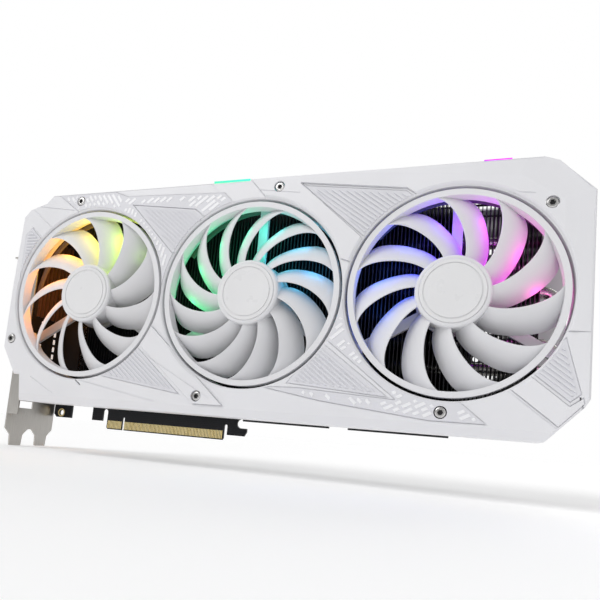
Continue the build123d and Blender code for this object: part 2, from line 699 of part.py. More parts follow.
def bracket_screws():
    """Screws that hold the bracket's flange to the end baffle."""
    y = BRACKET_FRONT
    return group([screw(FLANGE_SCREW_X, z, y + 4.0, y - 1.6, 2.6, 1.2) for z in FLANGE_SCREW_Z])


def end_baffle():
    """Dark plate that closes the end of the cooler and lies over the video sockets, with two screw blocks."""
    baffle = block(-51.9, -50.4, -36.0, SOCKET_COVER_Y - 0.8, 30, 122)
    baffle += block(-51.9, -36, SOCKET_COVER_Y - 0.8, SOCKET_COVER_Y, 16, 122)
    for z in FLANGE_SCREW_Z:
        baffle += block(-56, -50.4, BRACKET_FRONT + BRACKET_T, -33.5, z - 4, z + 4)
        baffle -= slab(disc(FLANGE_SCREW_X, z, 1.3), -33, -40)
    return baffle


# ---- two-position switch
def switch_body():
    body = block(SWITCH_X - 5, SWITCH_X + 5, -5.4, BOARD_FRONT, 124, 129.5)
    slot = (SLIDER_W + SWITCH_TRAVEL + 0.4) / 2
    return body - block(SWITCH_X - slot, SWITCH_X + slot, -3.1 - 0.75, -3.1 + 0.75, 127, 130)


def switch_slider():
    x = SWITCH_X - SWITCH_TRAVEL / 2
    return block(x - SLIDER_W / 2, x + SLIDER_W / 2, -3.1 - SLIDER_D / 2, -3.1 + SLIDER_D / 2, 127.15, 131.5)


# ---- rear
def backplate():
    outline = [
        (-52, 14.6), (244, 14.6), (258, 29), (258, 122), (247, 133), (240, 137.4), (-40, 137.4), (-52, 126),
    ]
    face = poly(outline)
    face -= Pos(GPU_X, GPU_Z) * RectangleRounded(WINDOW, WINDOW, 4)
    for k in range(15):
        z = 30 + 6.4 * k
        face -= Pos(229, z) * Rot(0, 0, 24) * SlotOverall(34, 3.0)
    for k in range(7):
        face -= Pos(-30 + 7 * k, 40) * Rot(0, 0, 60) * SlotOverall(16, 2.4)
    plate = slab(face, BACK_Y, BACK_FRONT)
    plate += block(-40, 240, -3.0, BACK_FRONT, 136.2, 137.4)
    for x, z in BACK_SCREWS + TAIL_SCREWS:
        plate -= slab(disc(x, z, 1.5), BACK_Y + 1, BACK_FRONT - 1)
        plate -= slab(disc(x, z, 2.8), BACK_Y + 1, BACK_Y - 0.9)
    line = Pos(150, 70) * Rot(0, 0, 55) * Rectangle(150, 1.2)
    for shift in (0, 8, 20):
        plate -= slab(Pos(shift, 0) * line, BACK_Y + 1, BACK_Y - 0.4)
    return plate


def standoffs():
    return group([slab(annulus(x, z, 2.7, 1.5), BACK_FRONT, BOARD_BACK) for x, z in BACK_SCREWS])


def tail_posts():
    """Posts that carry the tail of the backplate on the cover."""
    return group([slab(disc(x, z, 3.4) - disc(x, z, 1.5), BACK_FRONT, WALL_BACK_Y) for x, z in TAIL_SCREWS])


def rear_screw(x, z, tip):
    shank = slab(disc(x, z, 1.3), BACK_Y - 0.9, tip)
    head = slab(disc(x, z, 2.6), BACK_Y, BACK_Y - 0.9)
    cross = Rectangle(2.6, 0.6) + Rectangle(0.6, 2.6)
    return shank + head - slab(Pos(x, z) * cross, BACK_Y + 1, BACK_Y - 0.6)


def backplate_screws():
    screws = [rear_screw(x, z, BOARD_FRONT) for x, z in BACK_SCREWS]
    screws += [rear_screw(x, z, -6) for x, z in TAIL_SCREWS]
    return group(screws)


def gpu_brace():
    """Crossed spring plate behind the processor."""
    face = RectangleRounded(30, 30, 5)
    for a in (45, 135):
        face += Rot(0, 0, a) * SlotOverall(2 * BRACE_HALF * math.sqrt(2) + 9, 9)
    face = Pos(GPU_X, GPU_Z) * face
    face -= disc(GPU_X, GPU_Z, 8)
    for x, z in brace_corners():
        face -= disc(x, z, 1.5)
    return slab(face, BRACE_BACK, BRACE_BACK - 1.0)


def brace_screws():
    screws = []
    for x, z in brace_corners():
        shank = slab(disc(x, z, 1.25), BRACE_BACK, FIN_BACK + 5)
        collar = slab(annulus(x, z, 2.2, 1.25), BRACE_BACK - 1.0, BOARD_BACK)
        head = slab(disc(x, z, 2.6), BRACE_BACK + 1.3, BRACE_BACK)
        cross = Rectangle(2.8, 0.6) + Rectangle(0.6, 2.8)
        head -= slab(Pos(x, z) * cross, BRACE_BACK + 2, BRACE_BACK + 0.6)
        screws.append(shank + head + collar)
    return group(screws)


# ---- write every sub-part
def sub_parts():
    parts = {
        "front_shroud": front_shroud(),
        "shroud_screws": shroud_screws(),
        "light_bar": light_bar(),
        "light_strip": light_strip(),
        "glow_guides": glow_guides(),
        "fan_mounts": group([fan_mount(x) for x in FAN_X]),
        "fan_stators": group([stator(x) for x in FAN_X]),
        "heat_pipes": heat_pipes(),
        "cold_plate": cold_plate(),
        "power_stage_plate": power_stage_plate(),
        "board_frame": board_frame(),
        "circuit_board": circuit_board(),
        "edge_contacts": edge_contacts(),
        "gpu_substrate": gpu_substrate(),
        "gpu_die": gpu_die(),
        "memory_chips": memory_chips(),
        "chokes": chokes(),
        "power_stages": power_stages(),
        "capacitors": capacitors(),
        "fan_headers": fan_headers(),
        "video_sockets_narrow": video_sockets(False),
        "video_sockets_wide": video_sockets(True),
        "io_bracket": io_bracket(),
        "bracket_screws": bracket_screws(),
        "end_baffle": end_baffle(),
        "switch_body": switch_body(),
        "switch_slider": switch_slider(),
        "backplate": backplate(),
        "standoffs": standoffs(),
        "tail_posts": tail_posts(),
        "backplate_screws": backplate_screws(),
        "gpu_brace": gpu_brace(),
        "brace_screws": brace_screws(),
    }
    for name, points in COVERS.items():
        parts[name] = cover(points)
    for name, (points, degrees) in RIB_FIELDS.items():
        parts[name] = ribbed(points, degrees)
    for name, points in PATTERNS.items():
        parts[name] = pattern(points)
    for name, (start, count) in STACKS.items():
        parts[name] = fin_stack(start, count, TAIL_FIN_BACK if name == "fins_tail" else FIN_BACK)
    for number, x in enumerate(SOCKET_X, start=1):
        parts[f"power_socket_{number}"] = power_socket(x)
    for k, name in enumerate(FAN_NAMES):
        x = FAN_X[k]
        parts[f"fan_{name}_rotor"] = rotor(x, FAN_BLADES[k], FAN_TURN[k], FAN_PHASE[k], FAN_SWEEP[k])
        parts[f"fan_{name}_cap"] = hub_cap(x)
        parts[f"fan_{name}_steel"] = fan_steel(x)
    return parts


os.makedirs("parts", exist_ok=True)
for part_name, solid in sub_parts().items():
    export_step(solid, f"parts/{part_name}.step")
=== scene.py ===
import json
import math
import random

import bmesh
import bpy
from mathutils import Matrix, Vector
from mathutils.bvhtree import BVHTree


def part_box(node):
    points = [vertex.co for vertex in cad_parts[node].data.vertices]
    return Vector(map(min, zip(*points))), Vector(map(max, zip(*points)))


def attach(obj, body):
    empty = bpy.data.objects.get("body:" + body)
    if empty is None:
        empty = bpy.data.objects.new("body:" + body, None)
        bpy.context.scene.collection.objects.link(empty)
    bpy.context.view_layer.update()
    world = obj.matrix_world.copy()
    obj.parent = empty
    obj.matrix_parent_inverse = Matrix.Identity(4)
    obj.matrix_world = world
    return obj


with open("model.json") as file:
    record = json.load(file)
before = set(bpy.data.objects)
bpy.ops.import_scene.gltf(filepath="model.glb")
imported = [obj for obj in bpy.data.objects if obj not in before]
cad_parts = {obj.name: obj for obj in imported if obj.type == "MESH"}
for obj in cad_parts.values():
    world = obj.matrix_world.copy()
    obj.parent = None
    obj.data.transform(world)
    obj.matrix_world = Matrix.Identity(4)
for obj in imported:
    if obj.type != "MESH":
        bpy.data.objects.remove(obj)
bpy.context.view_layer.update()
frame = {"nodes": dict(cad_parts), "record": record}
nodes = frame["nodes"]

MM = 0.001
FLOOR_GAP = 0.2 * MM
FLOOR_Z = min(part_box(n)[0].z for n in nodes) - FLOOR_GAP


def fan_axis(name):
    """The place of a fan's axis, as x and z."""
    low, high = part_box(f"fan_{name}_cap")
    middle = (low + high) / 2
    return middle.x, middle.z


# ---- materials
# the range in which most of a noise texture's values lie
NOISE_LOW, NOISE_HIGH = 0.3, 0.7


class Shader:
    """A small wrapper that adds nodes to one material and joins them up."""

    def __init__(self, name):
        self.material = bpy.data.materials.new(name)
        self.material.use_nodes = True
        self.tree = self.material.node_tree
        self.tree.nodes.clear()
        self.out = self.add("ShaderNodeOutputMaterial")
        self.bsdf = self.add("ShaderNodeBsdfPrincipled")
        self.join(self.bsdf.outputs[0], self.out.inputs["Surface"])
        self.place = self.add("ShaderNodeTexCoord").outputs["Object"]

    def add(self, kind, **settings):
        node = self.tree.nodes.new(kind)
        for key, value in settings.items():
            setattr(node, key, value)
        return node

    def join(self, source, target):
        self.tree.links.new(source, target)

    def set(self, **values):
        for key, value in values.items():
            self.bsdf.inputs[key.replace("_", " ")].default_value = value

    def feed(self, socket, source):
        self.join(source, self.bsdf.inputs[socket])

    def noise(self, per_metre, detail=3.0, stretch=(1, 1, 1)):
        mapping = self.add("ShaderNodeMapping")
        mapping.inputs["Scale"].default_value = [per_metre * s for s in stretch]
        self.join(self.place, mapping.inputs["Vector"])
        noise = self.add("ShaderNodeTexNoise")
        noise.inputs["Scale"].default_value = 1.0
        noise.inputs["Detail"].default_value = detail
        noise.inputs["Roughness"].default_value = 0.55
        self.join(mapping.outputs[0], noise.inputs["Vector"])
        return noise.outputs["Fac"]

    def spread(self, value, low, high):
        """The value's noise range, taken to the range low to high."""
        r = self.add("ShaderNodeMapRange")
        r.inputs["From Min"].default_value = NOISE_LOW
        r.inputs["From Max"].default_value = NOISE_HIGH
        r.inputs["To Min"].default_value = low
        r.inputs["To Max"].default_value = high
        self.join(value, r.inputs["Value"])
        return r.outputs[0]

    def ramp(self, value, stops):
        ramp = self.add("ShaderNodeValToRGB")
        elements = ramp.color_ramp.elements
        while len(elements) < len(stops):
            elements.new(0.5)
        for element, (at, colour) in zip(elements, stops):
            element.position = at
            element.color = (*colour, 1)
        self.join(value, ramp.inputs["Fac"])
        return ramp.outputs["Color"]

    def shades(self, value, dark, light):
        """A colour from dark to light as a noise value rises."""
        return self.ramp(value, [(NOISE_LOW, dark), (NOISE_HIGH, light)])

    def bump(self, height, strength, distance):
        bump = self.add("ShaderNodeBump")
        bump.inputs["Strength"].default_value = strength
        bump.inputs["Distance"].default_value = distance
        self.join(height, bump.inputs["Height"])
        self.feed("Normal", bump.outputs[0])

    def add_up(self, a, b, weight):
        """a plus weight times b."""
        m = self.add("ShaderNodeMath", operation="MULTIPLY_ADD")
        m.inputs[1].default_value = weight
        self.join(b, m.inputs[0])
        self.join(a, m.inputs[2])
        return m.outputs[0]


def tint(colour, factor):
    return tuple(min(1.0, c * factor) for c in colour)


def moulded(name, colour, rough, grain=2600, depth=0.012, coat=0.0):
    """Injection-moulded plastic: a spark-eroded grain, slow shifts of shade and a soft gloss."""
    s = Shader(name)
    s.set(Roughness=rough, Specular_IOR_Level=0.45, Coat_Weight=coat, Coat_Roughness=0.18)
    slow = s.noise(per_metre=26, detail=2)
    s.feed("Base Color", s.shades(slow, tint(colour, 0.975), tint(colour, 1.015)))
    fine = s.noise(per_metre=grain, detail=2)
    gloss = s.noise(per_metre=140, detail=4)
    s.feed("Roughness", s.spread(gloss, rough - 0.05, rough + 0.07))
    s.bump(s.add_up(fine, slow, weight=4.0), strength=0.35, distance=depth * MM)
    return s.material


def brushed(name, colour, rough, along=(1, 1, 0.02)):
    """Brushed metal: fine scratches along one direction, with smudges in the gloss."""
    s = Shader(name)
    s.set(Metallic=1.0, Roughness=rough)
    lines = s.noise(per_metre=5200, detail=3, stretch=along)
    smudge = s.noise(per_metre=60, detail=4)
    s.feed("Base Color", s.shades(lines, tint(colour, 0.88), tint(colour, 1.08)))
    mix = s.add_up(smudge, lines, weight=0.6)
    s.feed("Roughness", s.spread(mix, rough - 0.04, rough + 0.12))
    s.bump(lines, strength=0.25, distance=0.012 * MM)
    return s.material


def plated(name, colour, rough, metallic=1.0):
    """Plated or coated metal with a faint orange-peel and small stains."""
    s = Shader(name)
    s.set(Metallic=metallic, Roughness=rough)
    fine = s.noise(per_metre=900, detail=4)
    slow = s.noise(per_metre=70, detail=3)
    s.feed("Base Color", s.shades(slow, tint(colour, 0.9), tint(colour, 1.06)))
    s.feed("Roughness", s.spread(fine, max(0.03, rough - 0.06), rough + 0.1))
    s.bump(fine, strength=0.3, distance=0.01 * MM)
    return s.material


# the light's colours: share of the way from GLOW_START to GLOW_END, and colour
RAINBOW = [
    (0.00, (1.0, 0.22, 0.02)), (0.08, (1.0, 0.36, 0.01)), (0.15, (1.0, 0.70, 0.01)),
    (0.22, (0.60, 1.0, 0.02)), (0.30, (0.18, 0.90, 0.05)), (0.38, (0.03, 0.75, 0.22)),
    (0.50, (0.03, 0.70, 0.45)), (0.58, (0.05, 0.50, 0.85)), (0.66, (0.06, 0.35, 1.0)),
    (0.74, (0.02, 0.12, 1.0)), (0.82, (0.10, 0.04, 1.0)), (0.87, (0.40, 0.02, 1.0)),
    (0.93, (0.90, 0.02, 0.80)), (1.00, (1.0, 0.03, 0.28)),
]
GLOW_START = -45 * MM
GLOW_END = 250 * MM


def rainbow_at(x):
    """The light's colour at a place along the card."""
    t = min(1.0, max(0.0, (x - GLOW_START) / (GLOW_END - GLOW_START)))
    for (t0, c0), (t1, c1) in zip(RAINBOW, RAINBOW[1:]):
        if t <= t1:
            k = (t - t0) / (t1 - t0)
            return tuple(a + (b - a) * k for a, b in zip(c0, c1))
    return RAINBOW[-1][1]


def glowing(name, strength, rough, body=None):
    """A milky light guide whose colour runs along the card, a little uneven at the lamps."""
    s = Shader(name)
    s.set(Roughness=rough, Emission_Strength=strength)
    split = s.add("ShaderNodeSeparateXYZ")
    s.join(s.place, split.inputs[0])
    along = s.add("ShaderNodeMapRange")
    along.inputs["From Min"].default_value = GLOW_START
    along.inputs["From Max"].default_value = GLOW_END
    s.join(split.outputs["X"], along.inputs["Value"])
    colour = s.ramp(along.outputs[0], RAINBOW)
    if body:
        s.set(Base_Color=(*body, 1))
    else:
        s.feed("Base Color", colour)
    mix = s.add("ShaderNodeMix", data_type="RGBA", blend_type="MULTIPLY")
    mix.inputs["Factor"].default_value = 0.5
    s.join(colour, mix.inputs["A"])
    uneven = s.noise(per_metre=160, detail=2)
    s.join(s.shades(uneven, dark=(0.55, 0.55, 0.55), light=(1, 1, 1)), mix.inputs["B"])
    s.feed("Emission Color", mix.outputs["Result"])
    s.bump(s.noise(per_metre=1500, detail=2), strength=0.2, distance=0.01 * MM)
    return s.material


def board_mask(name):
    """Black solder mask over copper: raised tracks under a fine satin weave."""
    s = Shader(name)
    s.set(Roughness=0.38, Specular_IOR_Level=0.3)
    tracks = s.add("ShaderNodeTexBrick")
    tracks.inputs["Scale"].default_value = 210.0
    tracks.inputs["Mortar Size"].default_value = 0.012
    tracks.inputs["Color1"].default_value = (0.2, 0.2, 0.2, 1)
    tracks.inputs["Color2"].default_value = (0.8, 0.8, 0.8, 1)
    tracks.inputs["Mortar"].default_value = (0, 0, 0, 1)
    mapping = s.add("ShaderNodeMapping")
    mapping.inputs["Rotation"].default_value = (math.radians(90), 0, 0)
    s.join(s.place, mapping.inputs["Vector"])
    s.join(mapping.outputs[0], tracks.inputs["Vector"])
    between, over = (0.008, 0.009, 0.012), (0.02, 0.022, 0.028)
    s.feed("Base Color", s.ramp(tracks.outputs["Fac"], [(0.0, between), (1.0, over)]))
    weave = s.noise(per_metre=1800, detail=2)
    s.feed("Roughness", s.spread(weave, low=0.3, high=0.48))
    height = s.add_up(weave, tracks.outputs["Fac"], weight=1.5)
    s.bump(height, strength=0.3, distance=0.02 * MM)
    return s.material


def gold(name):
    """Hard gold plating, worn a little along the height of the contacts."""
    s = Shader(name)
    s.set(Metallic=1.0, Roughness=0.24)
    wear = s.noise(per_metre=700, detail=4, stretch=(1, 1, 0.15))
    s.feed("Base Color", s.shades(wear, dark=(0.82, 0.64, 0.27), light=(0.98, 0.83, 0.46)))
    s.feed("Roughness", s.spread(wear, low=0.2, high=0.36))
    s.bump(wear, strength=0.2, distance=0.008 * MM)
    return s.material


def slot_materials():
    """One finish for each material slot: name, colour, roughness and what sets it apart."""
    return {
        "cover_white": moulded("cover_white", (0.80, 0.80, 0.825), 0.36, coat=0.12),
        "rib_white": moulded("rib_white", (0.73, 0.73, 0.765), 0.5, grain=2200, depth=0.02),
        "fan_white": moulded("fan_white", (0.77, 0.77, 0.79), 0.42),
        "cap_silver": moulded("cap_silver", (0.80, 0.80, 0.81), 0.3,
                              grain=3600, depth=0.006, coat=0.3),
        "steel": brushed("steel", (0.55, 0.55, 0.57), 0.3),
        "screw_black": plated("screw_black", (0.03, 0.03, 0.032), 0.35, metallic=0.6),
        "screw_nickel": plated("screw_nickel", (0.72, 0.71, 0.70), 0.2),
        "light_orange_green": glowing("light_bar", 1.1, 0.35),
        "lamp_board": moulded("lamp_board", (0.02, 0.02, 0.022), 0.45),
        "glow": glowing("glow_guide", 0.06, 0.4, body=(0.10, 0.10, 0.10)),
        "motor_white": moulded("motor_white", (0.62, 0.62, 0.64), 0.5),
        "copper": plated("copper", (0.72, 0.30, 0.14), 0.3),
        "nickel": plated("nickel", (0.62, 0.60, 0.57), 0.22),
        "fin_black": plated("fin_black", (0.016, 0.016, 0.018), 0.36, metallic=0.35),
        "frame_black": plated("frame_black", (0.02, 0.02, 0.022), 0.4, metallic=0.3),
        "board_black": board_mask("board_black"),
        "gold": gold("gold"),
        "package_green": moulded("package_green", (0.02, 0.10, 0.05), 0.4),
        "silicon": plated("silicon", (0.30, 0.30, 0.33), 0.08),
        "chip_black": moulded("chip_black", (0.02, 0.02, 0.021), 0.5, grain=3000, depth=0.02),
        "choke_grey": moulded("choke_grey", (0.10, 0.10, 0.105), 0.55,
                              grain=3000, depth=0.03),
        "can_silver": brushed("can_silver", (0.62, 0.62, 0.64), 0.28, along=(1, 0.02, 1)),
        "bracket_steel": brushed("bracket_steel", (0.56, 0.54, 0.51), 0.2),
        "socket_metal": plated("socket_metal", (0.62, 0.62, 0.62), 0.22),
        "socket_white": moulded("socket_white", (0.74, 0.74, 0.73), 0.45),
        "backplate_white": moulded("backplate_white", (0.74, 0.74, 0.76), 0.34,
                                   grain=1800, coat=0.2),
    }


def dress_nodes(materials):
    """Gives every CAD node its slot's material."""
    for part in frame["record"]["subparts"]:
        obj = nodes[part["node"]]
        obj.data.materials.clear()
        obj.data.materials.append(materials[part["material_slot"]])


# CAD nodes whose sharp edges are rounded, and the width of the rounding in millimetres
BEVELS = {
    "front_shroud": 0.35, "cover_right": 0.3, "cover_diagonal": 0.3, "cover_lower_right": 0.3,
    "io_bracket": 0.2, "backplate": 0.3, "circuit_board": 0.12, "end_baffle": 0.3,
    "power_socket_1": 0.25, "power_socket_2": 0.25, "power_socket_3": 0.25,
}
SAME_POINT = 0.002 * MM


def soften(node, width_mm):
    """Rounds a node's sharp edges a little, as moulded and pressed pieces have them."""
    obj = nodes[node]
    weld = obj.modifiers.new("weld", "WELD")
    weld.merge_threshold = SAME_POINT
    bevel = obj.modifiers.new("bevel", "BEVEL")
    bevel.width = width_mm * MM
    bevel.segments = 2
    bevel.limit_method = "ANGLE"
    bevel.angle_limit = math.radians(35)
    bevel.use_clamp_overlap = True
    bevel.harden_normals = False


# ---- added pieces
def mesh_piece(name, bm, material, body="card"):
    """Turns a finished bmesh into a named piece that rides on a body."""
    mesh = bpy.data.meshes.new(name)
    bmesh.ops.recalc_face_normals(bm, faces=bm.faces)
    bm.to_mesh(mesh)
    bm.free()
    mesh.materials.append(material)
    obj = bpy.data.objects.new(name, mesh)
    bpy.context.collection.objects.link(obj)
    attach(obj, body)


def closed_block(bm, foot, top):
    """A closed block between two rings of corners that run the same way round."""
    foot = [bm.verts.new(point) for point in foot]
    top = [bm.verts.new(point) for point in top]
    bm.faces.new(top)
    bm.faces.new(foot[::-1])
    for i in range(len(foot)):
        j = (i + 1) % len(foot)
        bm.faces.new((foot[i], foot[j], top[j], top[i]))


def prism(bm, outline, back, front, inset):
    """A block in front of a face: the outline in (x, z), its front drawn in by inset all round."""
    cx = sum(p[0] for p in outline) / len(outline)
    cz = sum(p[1] for p in outline) / len(outline)
    top = []
    for x, z in outline:
        k = 1 - inset / math.hypot(x - cx, z - cz)
        top.append((cx + (x - cx) * k, front, cz + (z - cz) * k))
    closed_block(bm, [(x, back, z) for x, z in outline], top)


def slat(bm, low, high, inset):
    """A block whose face towards the tail is drawn in by inset all round."""
    foot = [(low.x, low.y, low.z), (low.x, high.y, low.z),
            (low.x, high.y, high.z), (low.x, low.y, high.z)]
    top = [(high.x, low.y + inset, low.z + inset), (high.x, high.y - inset, low.z + inset),
           (high.x, high.y - inset, high.z - inset), (high.x, low.y + inset, high.z - inset)]
    closed_block(bm, foot, top)


def rectangle(x0, x1, z0, z1):
    return [(x0, z0), (x1, z0), (x1, z1), (x0, z1)]


def arc_of(x, z, radius, angles):
    return [(x + radius * math.cos(a), z + radius * math.sin(a)) for a in angles]


def ring_of(x, z, radius, count):
    return arc_of(x, z, radius, [2 * math.pi * k / count for k in range(count)])


def tree_of(names):
    """One ray-cast tree of several CAD nodes."""
    verts, faces = [], []
    for name in names:
        mesh = nodes[name].data
        base = len(verts)
        verts += [v.co.copy() for v in mesh.vertices]
        faces += [[base + i for i in p.vertices] for p in mesh.polygons]
    return BVHTree.FromPolygons(verts, faces)


def solid_boxes(node):
    """The lowest and highest corner of each loose solid in a node."""
    bm = bmesh.new()
    bm.from_mesh(nodes[node].data)
    bmesh.ops.remove_doubles(bm, verts=bm.verts, dist=SAME_POINT)
    left = set(bm.verts)
    boxes = []
    while left:
        queue = [left.pop()]
        points = []
        while queue:
            v = queue.pop()
            points.append(v.co.copy())
            for edge in v.link_edges:
                other = edge.other_vert(v)
                if other in left:
                    left.remove(other)
                    queue.append(other)
        boxes.append((Vector(map(min, *points)), Vector(map(max, *points))))
    bm.free()
    return sorted(boxes, key=lambda box: (round(box[0].x, 5), round(box[0].z, 5)))


# ---- raised bars on the two inlaid bands
STROKE_H, STROKE_W, STROKE_BEVEL, STROKE_SUNK = 0.22 * MM, 1.55 * MM, 0.2 * MM, 0.05 * MM
STROKE_PITCH, STROKE_GAP, STROKE_SLANT = 2.5 * MM, 0.9 * MM, 0.35 * MM
# clear margin at the band's edges, and the distance between the points tested along a row
STROKE_EDGE, STROKE_PROBE = 0.35 * MM, 0.3 * MM
STROKE_LENGTHS, STROKE_SHORTEST = (3.2, 4.8, 7.0, 10.0), 1.4 * MM
# the share of the bars that are drawn; the others leave a gap
STROKE_SHARE = 0.88
# node: seed, and zones as (lean in degrees, window in shares of the box: x from, to, z from, to)
RELIEF = {
    "pattern_upper": (4, [(-52, (0.0, 0.40, 0.74, 1.0)), (78, (0.40, 0.76, 0.0, 0.83)),
                          (37, (0.40, 0.76, 0.83, 1.0)), (37, (0.76, 1.0, 0.0, 1.0))]),
    "pattern_lower": (9, [(40, (0.0, 1.0, 0.42, 1.0)), (-44, (0.0, 0.55, 0.0, 0.42)),
                          (28, (0.55, 1.0, 0.0, 0.42))]),
}
# a ray starts this far in front of a face, and the face counts as flat within these
PROBE_BACK = 20 * MM
FLAT_WITHIN, FLAT_NORMAL = 0.05 * MM, -0.95


def on_face(tree, x, z, front_y):
    """True where a point lies on the node's flat front."""
    hit, normal, _, _ = tree.ray_cast(Vector((x, front_y - PROBE_BACK, z)), Vector((0, 1, 0)))
    return hit is not None and abs(hit.y - front_y) < FLAT_WITHIN and normal.y < FLAT_NORMAL


def runs_of(flags):
    """The first and last index of each run of true values."""
    runs = []
    start = None
    for i, flag in enumerate(flags + [False]):
        if flag and start is None:
            start = i
        if not flag and start is not None:
            runs.append((start, i - 1))
            start = None
    return runs


def hatch(bm, tree, draw, box, lean, window):
    """Fills a window of a face with parallel bars of mixed lengths, each with slanted ends."""
    low, high = box
    size = high - low
    x0, x1 = low.x + window[0] * size.x, low.x + window[1] * size.x
    z0, z1 = low.z + window[2] * size.z, low.z + window[3] * size.z
    cx, cz = (x0 + x1) / 2, (z0 + z1) / 2
    ux, uz = math.cos(math.radians(lean)), math.sin(math.radians(lean))
    half = STROKE_W / 2
    reach = math.hypot(x1 - x0, z1 - z0) / 2
    count = int(2 * reach / STROKE_PROBE)

    def at(t, across):
        return cx + ux * t - uz * across, cz + uz * t + ux * across

    def clear(t, across):
        points = [at(t, across + k * (half + STROKE_EDGE)) for k in (-1, 0, 1)]
        inside = all(x0 < x < x1 and z0 < z < z1 for x, z in points)
        return inside and all(on_face(tree, x, z, low.y) for x, z in points)

    rows = int(reach / STROKE_PITCH)
    for r in range(-rows, rows + 1):
        across = r * STROKE_PITCH
        flags = [clear(-reach + i * STROKE_PROBE, across) for i in range(count)]
        for first, last in runs_of(flags):
            t = -reach + first * STROKE_PROBE + STROKE_EDGE
            end = -reach + last * STROKE_PROBE - STROKE_EDGE
            while end - t > STROKE_SHORTEST:
                length = draw.choice(STROKE_LENGTHS) * MM
                if end - t - length < STROKE_SHORTEST:
                    length = end - t
                if draw.random() < STROKE_SHARE:
                    corners = [at(t + STROKE_SLANT, across - half), at(t + length, across - half),
                               at(t + length - STROKE_SLANT, across + half), at(t, across + half)]
                    prism(bm, corners, low.y + STROKE_SUNK, low.y - STROKE_H, STROKE_BEVEL)
                t += length + STROKE_GAP


def inlay_relief(material):
    """Plain slanted bars on each inlaid band, in no particular order."""
    for node, (seed, zones) in RELIEF.items():
        draw = random.Random(seed)
        tree = tree_of([node])
        bm = bmesh.new()
        for lean, window in zones:
            hatch(bm, tree, draw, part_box(node), lean, window)
        mesh_piece(f"{node}_relief", bm, material)


# ---- small parts on the circuit board
STANDING = (
    "circuit_board", "chokes", "capacitors", "power_stages", "memory_chips", "gpu_substrate",
    "fan_headers", "power_stage_plate", "cold_plate", "board_frame", "switch_body",
    "video_sockets_narrow", "video_sockets_wide", "end_baffle", "brace_screws",
    "backplate_screws", "fins_left", "edge_contacts",
)
# length, width and height in millimetres of the ceramic parts, and the gap between them
CERAMICS = [(2.0, 1.25, 0.9), (1.6, 0.8, 0.8), (3.2, 1.6, 1.0)]
CERAMIC_GAP = 0.9
CERAMIC_SEED = 21
# share of the length under each tinned end, and how far the body stays inside the ends' faces
CERAMIC_END, CERAMIC_TRIM, CERAMIC_BEVEL = 0.22, 0.04 * MM, 0.08 * MM
# the columns' first place from the board's end, their last from the fins' end, and their step
COLUMN_START, COLUMN_END, COLUMN_STEP = 8 * MM, 24 * MM, 3.6 * MM
# the rows' first and last place from the board's lower and upper edge
ROW_START, ROW_END = 18 * MM, 4 * MM
# how often a column stands upright, a size changes (after a gap), and a free place is filled
UPRIGHT_SHARE, CHANGE_SHARE, CHANGE_GAP, FILLED_SHARE = 0.6, 0.12, 2.0 * MM, 0.7
# room round a part, where the rays start, and how near the board's face they have to land
CLEARANCE, BOARD_PROBE_Y, BOARD_WITHIN = 0.3 * MM, -12 * MM, 0.03 * MM


def ceramic_part(meshes, x, z, size, upright, front):
    """One ceramic part: a body between two tinned ends."""
    length, width, tall = (v * MM for v in size)
    cap = length * CERAMIC_END
    spans = {
        "ends": [(-length / 2, -length / 2 + cap), (length / 2 - cap, length / 2)],
        "body": [(-length / 2 + cap, length / 2 - cap)],
    }
    for kind, pieces in spans.items():
        trim = 0.0 if kind == "ends" else CERAMIC_TRIM
        w = width / 2 - trim
        for a, b in pieces:
            if upright:
                outline = rectangle(x - w, x + w, z + a, z + b)
            else:
                outline = rectangle(x + a, x + b, z - w, z + w)
            prism(meshes[kind], outline, front, front - tall + trim, CERAMIC_BEVEL)


def board_parts(materials):
    """Ordered rows of small ceramic parts on the open part of the board."""
    draw = random.Random(CERAMIC_SEED)
    low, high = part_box("circuit_board")
    front = low.y
    last_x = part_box("fins_left")[0].x + COLUMN_END
    tree = tree_of(STANDING)
    meshes = {"ends": bmesh.new(), "body": bmesh.new()}

    def bare(x, z):
        hit, _, _, _ = tree.ray_cast(Vector((x, BOARD_PROBE_Y, z)), Vector((0, 1, 0)))
        return hit is not None and abs(hit.y - front) < BOARD_WITHIN

    x = low.x + COLUMN_START
    while x < last_x:
        size = draw.choice(CERAMICS)
        upright = draw.random() < UPRIGHT_SHARE
        z = low.z + ROW_START
        while z < high.z - ROW_END:
            if draw.random() < CHANGE_SHARE:
                size = draw.choice(CERAMICS)
                z += CHANGE_GAP
            reach = size[0] / 2 * MM + CLEARANCE
            spots = [(x, z)] + [(x + i * reach, z + k * reach) for i in (-1, 1) for k in (-1, 1)]
            if all(bare(*spot) for spot in spots) and draw.random() < FILLED_SHARE:
                ceramic_part(meshes, x, z, size, upright, front)
            z += (size[0] + CERAMIC_GAP) * MM
        x += COLUMN_STEP
    tan = moulded("ceramic_tan", (0.34, 0.22, 0.13), 0.4)
    mesh_piece("ceramic_ends", meshes["ends"], materials["socket_metal"])
    mesh_piece("ceramic_bodies", meshes["body"], tan)


# the foot stands out from the can, and the mark stays inside its rim, by the same distance
CAN_RIM = 0.35 * MM
CAN_FOOT_H, CAN_FOOT_BEVEL, CAN_FOOT_SIDES = 1.1 * MM, 0.12 * MM, 24
CAN_MARK_H, CAN_MARK_BEVEL = 0.05 * MM, 0.03 * MM
CAN_MARK_ANGLES = [math.radians(20 + 14 * k) for k in range(11)]


